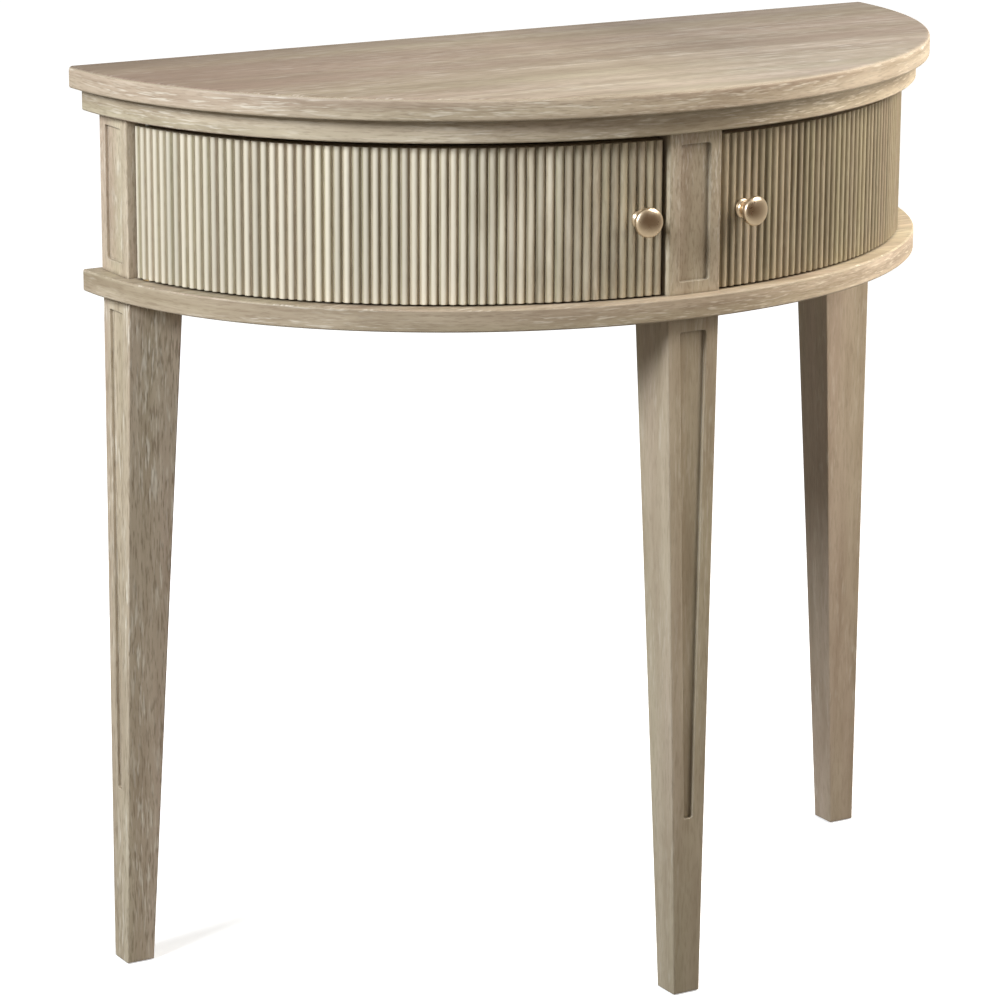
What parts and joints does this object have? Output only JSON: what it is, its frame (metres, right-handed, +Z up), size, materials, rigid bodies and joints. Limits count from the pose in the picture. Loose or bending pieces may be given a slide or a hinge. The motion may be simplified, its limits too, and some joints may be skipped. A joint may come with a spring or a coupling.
{
  "type": "demilune console table",
  "caption": "Half-round console table in limed oak with a shallow curved cupboard, reeded doors on concealed pivots, mushroom knobs and square tapered legs with sunk panels.",
  "frame": {"origin": "On the floor, midway across the width and midway from the front of the top to its straight back.", "axes": "+X to the right seen from the front, +Y towards the wall, +Z up; the curved front faces -Y."},
  "size_m": [0.914, 0.405, 0.889],
  "materials": {
    "limed_oak": "limed, wire-brushed, matt",
    "oak_back_board": "plain oak board, matt",
    "champagne_metal": "satin champagne plate",
    "zinc_steel": "bright zinc",
    "bush_brass": "plain turned",
    "magnet_nickel": "nickel plate",
    "beech_dowel": "raw",
    "black_nylon": "moulded"
  },
  "bodies": {
    "case": {"table_top": "limed_oak", "sub_top": "limed_oak", "base_board": "limed_oak", "back_panel": "oak_back_board", "centre_stile": "limed_oak", "left_end_stile": "limed_oak", "right_end_stile": "limed_oak", "front_leg": "limed_oak", "left_leg": "limed_oak", "right_leg": "limed_oak", "pivot_bushes": "bush_brass", "catch_magnets": "magnet_nickel", "door_stop": "limed_oak", "leg_studs": "zinc_steel", "leg_dowels": "beech_dowel", "stile_dowels": "beech_dowel", "top_screws": "zinc_steel", "leg_glides": "black_nylon"},
    "left_door": {"left_door_core": "limed_oak", "left_door_reeds": "limed_oak", "left_knob": "champagne_metal", "left_knob_screw": "zinc_steel", "left_pivot_pins": "zinc_steel", "left_strike_plate": "zinc_steel"},
    "right_door": {"right_door_core": "limed_oak", "right_door_reeds": "limed_oak", "right_knob": "champagne_metal", "right_knob_screw": "zinc_steel", "right_pivot_pins": "zinc_steel", "right_strike_plate": "zinc_steel"}
  },
  "joints": [
    {"name": "left_door_hinge", "type": "hinge", "parent": "case", "child": "left_door", "pos_m": [-0.41189, 0.127, 0.7695], "axis": [0, 0, -1], "range_deg": [0, 100]},
    {"name": "right_door_hinge", "type": "hinge", "parent": "case", "child": "right_door", "pos_m": [0.41189, 0.127, 0.7695], "axis": [0, 0, 1], "range_deg": [0, 100]}
  ]
}
